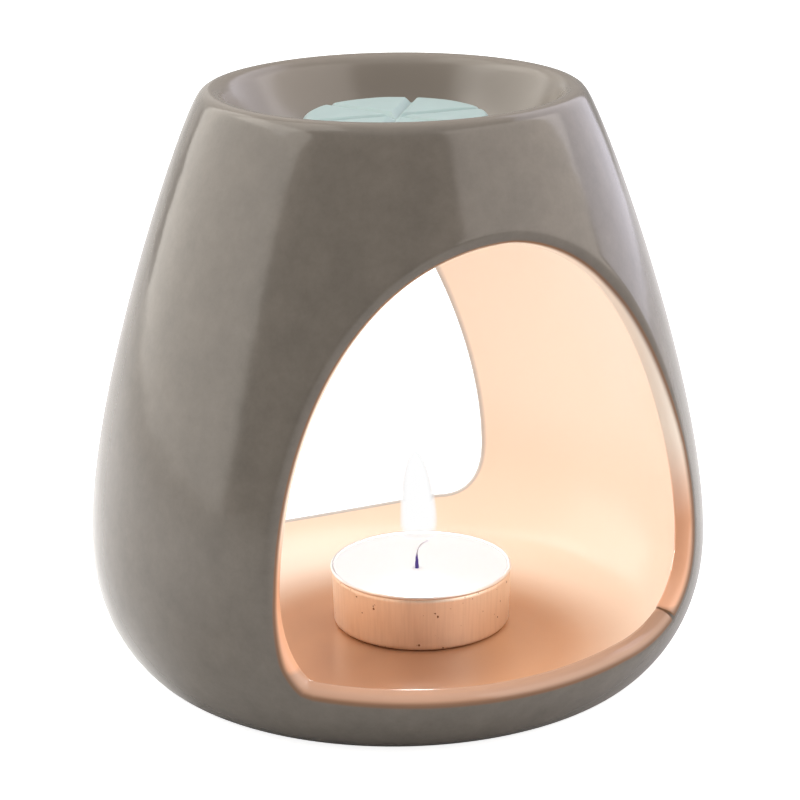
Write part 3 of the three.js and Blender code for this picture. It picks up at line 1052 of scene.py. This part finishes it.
candle = bmesh.new()
wax_top = curve(
    (cup_radius - 2 * cup_bead - wax_lip_gap, wax_rim_height),
    (cup_radius - 3, wax_rim_height - 0.5),
    (cup_radius - 8, wax_pool_height),
    (wick_hole, wax_pool_height),
    count=30,
)
candle_profile = [
    (sustainer_pocket, wax_bottom),
    (cup_foot_radius - wax_foot_gap, wax_bottom),
    (cup_foot_radius - wax_heel_gap, wax_heel_height),
    (cup_foot_radius - wax_wall_gap, neck_height - wax_shoulder_below),
]
candle_profile += [place.xy for place in wax_top]
candle_profile += [
    (wick_hole, neck_pocket_height),
    (neck_pocket, neck_pocket_height),
    (neck_pocket, sustainer_pocket_height),
    (sustainer_pocket, sustainer_pocket_height),
    (sustainer_pocket, wax_bottom),
]
add_turned(candle, candle_profile, 128)

# The pool, the hole and the pockets stand round the wick, off the cup's middle; the edge stays
still_radius = 15
offset_radius = 7
for corner in candle.verts:
    corner.co += wick_offset * ramp(corner.co.xy.length, still_radius, offset_radius)
bmesh.ops.translate(candle, vec=(cup_centre.x, cup_centre.y, cup_low.z), verts=candle.verts)

# Paraffin: white and waxy-smooth, with a painted glow standing in for the flame's light on it
paraffin_white = linear("#c6ced7")
paraffin = bpy.data.materials.new("white_paraffin")
tree = new_tree(paraffin)
place = add_node(tree, "ShaderNodeTexCoord").outputs["Object"]
waves = add_node(
    tree, "ShaderNodeTexNoise", {"Vector": place, "Scale": 1 / (6 * mm), "Detail": 2.0}
)
waves_bump = add_node(
    tree, "ShaderNodeBump", {"Height": waves.outputs["Fac"], "Strength": 0.1, "Distance": 0.1 * mm}
)
gloss = add_node(
    tree, "ShaderNodeMapRange", {"Value": waves.outputs["Fac"], "To Min": 0.42, "To Max": 0.5}
)
skin = add_node(
    tree, "ShaderNodeBsdfPrincipled",
    {
        "Base Color": paraffin_white, "Roughness": gloss.outputs["Result"], "IOR": 1.44,
        "Subsurface Weight": 0.4, "Subsurface Radius": (1.0, 0.85, 0.7), "Subsurface Scale": 3 * mm,
        # A painted glow: the wax emits a little light of its own
        "Emission Color": linear("#ffffff"), "Emission Strength": 0.35,
        "Normal": waves_bump.outputs["Normal"],
    },
)
add_node(tree, "ShaderNodeOutputMaterial", {"Surface": skin.outputs[0]})
candle_piece = finish_piece("tealight_wax", candle, paraffin, "tealight")
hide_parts("candle_wax")


# Wick sustainer
# A stamped tin disc with a neck crimped on the wick; it stands on the cup's floor under the
# wax and keeps the wick upright.
sustainer_radius = 6.3
sustainer_thickness = 0.4
sustainer_edge = 0.2
neck_bore = 0.8
neck_radius = 1.3
neck_foot = 0.4
disc_top = wax_bottom + sustainer_thickness
neck_top = disc_top + 3.0

sustainer = bmesh.new()
sustainer_profile = [
    (neck_bore, wax_bottom),
    (sustainer_radius - sustainer_edge, wax_bottom),
    (sustainer_radius, wax_bottom + sustainer_edge),
    (sustainer_radius - sustainer_edge, disc_top),
    (neck_radius + neck_foot, disc_top),
    (neck_radius + 0.05, disc_top + neck_foot),
    (neck_radius, neck_top),
    ((neck_bore + neck_radius) / 2, neck_top + 0.15),
    (neck_bore, neck_top),
    (neck_bore, wax_bottom),
]
add_turned(sustainer, sustainer_profile, 48)
stand = Vector((cup_centre.x, cup_centre.y, cup_low.z)) + wick_offset
bmesh.ops.translate(sustainer, vec=stand, verts=sustainer.verts)

# Tinplate: dull grey metal, its shine uneven with the crystals of the tin
tin = bpy.data.materials.new("stamped_tinplate")
tree = new_tree(tin)
place = add_node(tree, "ShaderNodeTexCoord").outputs["Object"]
spangle = add_node(
    tree, "ShaderNodeTexNoise", {"Vector": place, "Scale": 1 / (1.5 * mm), "Detail": 3.0}
)
rough = add_node(
    tree, "ShaderNodeMapRange", {"Value": spangle.outputs["Fac"], "To Min": 0.25, "To Max": 0.5}
)
metal = add_node(
    tree, "ShaderNodeBsdfPrincipled",
    {"Base Color": linear("#b4b3af"), "Metallic": 1.0, "Roughness": rough.outputs["Result"]},
)
add_node(tree, "ShaderNodeOutputMaterial", {"Surface": metal.outputs[0]})
sustainer_piece = finish_piece("tealight_sustainer", sustainer, tin, "tealight")
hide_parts("wick_sustainer")


# Wick
# Braided cotton, dipped in wax: blue-violet where it soaks and stands out of the pool, and
# burnt pale and curled over in the flame.
wick_radius = 0.42
wick_straight = wax_pool_height + 2.4
wick_top = wax_pool_height + 6.2
wick_bend = 2.4
wick_stem_steps = 50
wick_sides = 24
braid_strands = 3
braid_turn = 2.2
braid_relief = 0.2
burnt_thinning = 0.7
thinning_from = 0.8
thinning_full = 3.8
ash_from = 2.4
ash_full = 3.6

wick = bmesh.new()
bend = curve(
    (0, wick_straight),
    (0, wick_straight + 2.4),
    (wick_bend * 0.45, wick_top - 0.6),
    (wick_bend, wick_top),
    count=40,
)
stem_low, stem_high = Vector((0, wax_bottom, 0)), Vector((0, wick_straight, 0))
stem = [stem_low.lerp(stem_high, i / wick_stem_steps) for i in range(wick_stem_steps)]
wick_path = stem + bend
made = bmesh.ops.create_grid(wick, x_segments=wick_sides, y_segments=len(wick_path) - 1, size=1)
for corner in made["verts"]:
    side_turn = (corner.co.x + 1) * math.pi
    step = round((corner.co.y + 1) / 2 * (len(wick_path) - 1))
    middle = wick_path[step]
    ahead = wick_path[min(step + 1, len(wick_path) - 1)] - wick_path[max(step - 1, 0)]
    along = ahead.normalized()
    lobe = abs(math.cos(braid_strands * side_turn / 2 + braid_turn * middle.y))
    burnt_away = ramp(middle.y - wax_pool_height, thinning_from, thinning_full)
    radius = wick_radius * (1 - braid_relief * (1 - lobe)) * (1 - burnt_thinning * burnt_away)
    across = radius * math.cos(side_turn)
    depth = radius * math.sin(side_turn)
    corner.co = (middle.x + across * along.y, depth, middle.y - across * along.x)
bmesh.ops.remove_doubles(wick, verts=wick.verts, dist=merge_reach)
bmesh.ops.holes_fill(wick, edges=[e for e in wick.edges if e.is_boundary], sides=0)
bmesh.ops.rotate(wick, cent=(0, 0, 0), matrix=Matrix.Rotation(camera_turn, 3, "Z"), verts=wick.verts)
bmesh.ops.translate(wick, vec=stand, verts=wick.verts)

# Cotton yarn: dull and fibrous, violet with wax below and ashen where it has burnt
wick_violet = linear("#4c3c8e")
wick_burnt = linear("#bdbac6")
cotton = bpy.data.materials.new("braided_cotton")
tree = new_tree(cotton)
place = add_node(tree, "ShaderNodeTexCoord").outputs["Object"]
height = add_node(tree, "ShaderNodeSeparateXYZ", {"Vector": place}).outputs["Z"]
burnt = add_node(
    tree, "ShaderNodeMapRange",
    {
        "Value": height, "From Min": (cup_low.z + wax_pool_height + ash_from) * mm,
        "From Max": (cup_low.z + wax_pool_height + ash_full) * mm,
    },
    interpolation_type="SMOOTHSTEP",
)
fibres = add_node(
    tree, "ShaderNodeTexNoise", {"Vector": place, "Scale": 1 / (0.3 * mm), "Detail": 2.0}
)
colour = add_node(
    tree, "ShaderNodeMix", {0: burnt.outputs["Result"], 6: wick_violet, 7: wick_burnt},
    data_type="RGBA",
)
fibre_bump = add_node(
    tree, "ShaderNodeBump", {"Height": fibres.outputs["Fac"], "Strength": 0.5, "Distance": 0.05 * mm}
)
yarn = add_node(
    tree, "ShaderNodeBsdfPrincipled",
    {"Base Color": colour.outputs[2], "Roughness": 0.8, "Normal": fibre_bump.outputs["Normal"]},
)
add_node(tree, "ShaderNodeOutputMaterial", {"Surface": yarn.outputs[0]})
wick_piece = finish_piece("tealight_wick", wick, cotton, "tealight")
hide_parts("wick")


# Flame
# The lit candle flame, a narrow bullet of light standing round the top of the wick. It rides
# on the tealight, and a small warm lamp in its middle lights the chamber.
flame_bottom = wax_pool_height + 4.6
flame_top = wax_pool_height + 26.8
flame_radius = 4.2
flame_shoulder = flame_bottom + 15.4
flame_waist = flame_bottom + 4.5
flame_aside = 0.45
flame_lean = 0.6
flame_lean_from = flame_bottom + 8
flame_clear_below = flame_bottom + 3
flame_full_above = flame_bottom + 6
flame_rim_from = flame_bottom + 11.4
flame_rim_full = flame_bottom + 13.4
flame_lamp_height = flame_bottom + 12.5
flame_in_gloss = 40.0

flame = bmesh.new()
flame_profile = curve(
    (0, flame_bottom),
    (flame_radius, flame_bottom),
    (flame_radius, flame_bottom + 2.5),
    (flame_radius, flame_waist),
    count=20,
)
flame_profile += curve(
    (flame_radius, flame_waist),
    (flame_radius, flame_shoulder),
    (flame_radius * 0.5, flame_top - 1.5),
    (0, flame_top),
    count=40,
)[1:]
add_turned(flame, flame_profile, 64)
for corner in flame.verts:
    corner.co.x += flame_aside - flame_lean * ramp(corner.co.z, flame_lean_from, flame_top)
bmesh.ops.rotate(flame, cent=(0, 0, 0), matrix=Matrix.Rotation(camera_turn, 3, "Z"), verts=flame.verts)
bmesh.ops.translate(flame, vec=stand, verts=flame.verts)

# Burning gas: white, softening away at its edges, with a faint grey rim above and clear round
# the wick. The camera sees it toned down; what is glossy mirrors its full brightness.
flame_white = linear("#ffffff")
flame_rim = linear("#a89d96")
glow = bpy.data.materials.new("burning_gas")
tree = new_tree(glow)
rays = add_node(tree, "ShaderNodeLightPath")
place = add_node(tree, "ShaderNodeTexCoord").outputs["Object"]
height = add_node(tree, "ShaderNodeSeparateXYZ", {"Vector": place}).outputs["Z"]
clear_base = add_node(
    tree, "ShaderNodeMapRange",
    {
        "Value": height, "From Min": (cup_low.z + flame_clear_below) * mm,
        "From Max": (cup_low.z + flame_full_above) * mm,
    },
    interpolation_type="SMOOTHSTEP",
)
edge = add_node(tree, "ShaderNodeLayerWeight", {"Blend": 0.5})
soft_edge = add_node(
    tree, "ShaderNodeMapRange",
    {"Value": edge.outputs["Facing"], "From Min": 0.8, "From Max": 0.2},
    interpolation_type="SMOOTHSTEP",
)
density = add_node(
    tree, "ShaderNodeMath", {0: clear_base.outputs["Result"], 1: soft_edge.outputs["Result"]},
    operation="MULTIPLY",
)
brightness = add_node(
    tree, "ShaderNodeMapRange",
    {"Value": rays.outputs["Is Glossy Ray"], "To Min": 1.0, "To Max": flame_in_gloss},
)
white_base = add_node(
    tree, "ShaderNodeMapRange",
    {
        "Value": height, "From Min": (cup_low.z + flame_rim_from) * mm,
        "From Max": (cup_low.z + flame_rim_full) * mm, "To Min": 1.0, "To Max": 0.0,
    },
)
whiteness = add_node(
    tree, "ShaderNodeMath", {0: soft_edge.outputs["Result"], 1: white_base.outputs["Result"]},
    operation="MAXIMUM",
)
tone = add_node(
    tree, "ShaderNodeMix", {0: whiteness.outputs[0], 6: flame_rim, 7: flame_white},
    data_type="RGBA",
)
light = add_node(
    tree, "ShaderNodeEmission",
    {"Color": tone.outputs[2], "Strength": brightness.outputs["Result"]},
)
clear = add_node(tree, "ShaderNodeBsdfTransparent")
gas = add_node(
    tree, "ShaderNodeMixShader", {0: density.outputs[0], 1: clear.outputs[0], 2: light.outputs[0]}
)
add_node(tree, "ShaderNodeOutputMaterial", {"Surface": gas.outputs[0]})
flame_piece = finish_piece("tealight_flame", flame, glow, "tealight")
flame_piece.visible_shadow = False
flame_piece.visible_diffuse = False

# Its light doesn't fall off with distance, so that it fills the chamber evenly, as light that
# bounces round in a pale bowl does
flame_lamp = bpy.data.lights.new("flame_lamp", "POINT")
flame_lamp.energy = 7.8
flame_lamp.color = linear("#fff4ec")[:3]
flame_lamp.shadow_soft_size = 0.008
tree = new_tree(flame_lamp)
even = add_node(tree, "ShaderNodeLightFalloff", {"Strength": 1.0})
light = add_node(tree, "ShaderNodeEmission", {"Strength": even.outputs["Constant"]})
add_node(tree, "ShaderNodeOutputLight", {"Surface": light.outputs[0]})
flame_light = bpy.data.objects.new("flame_lamp", flame_lamp)
bpy.context.scene.collection.objects.link(flame_light)
flame_light.visible_camera = False
flame_light.visible_glossy = False
flame_light.location = (stand + Vector((0, 0, flame_lamp_height))) * mm
flame_light.parent = flame_piece
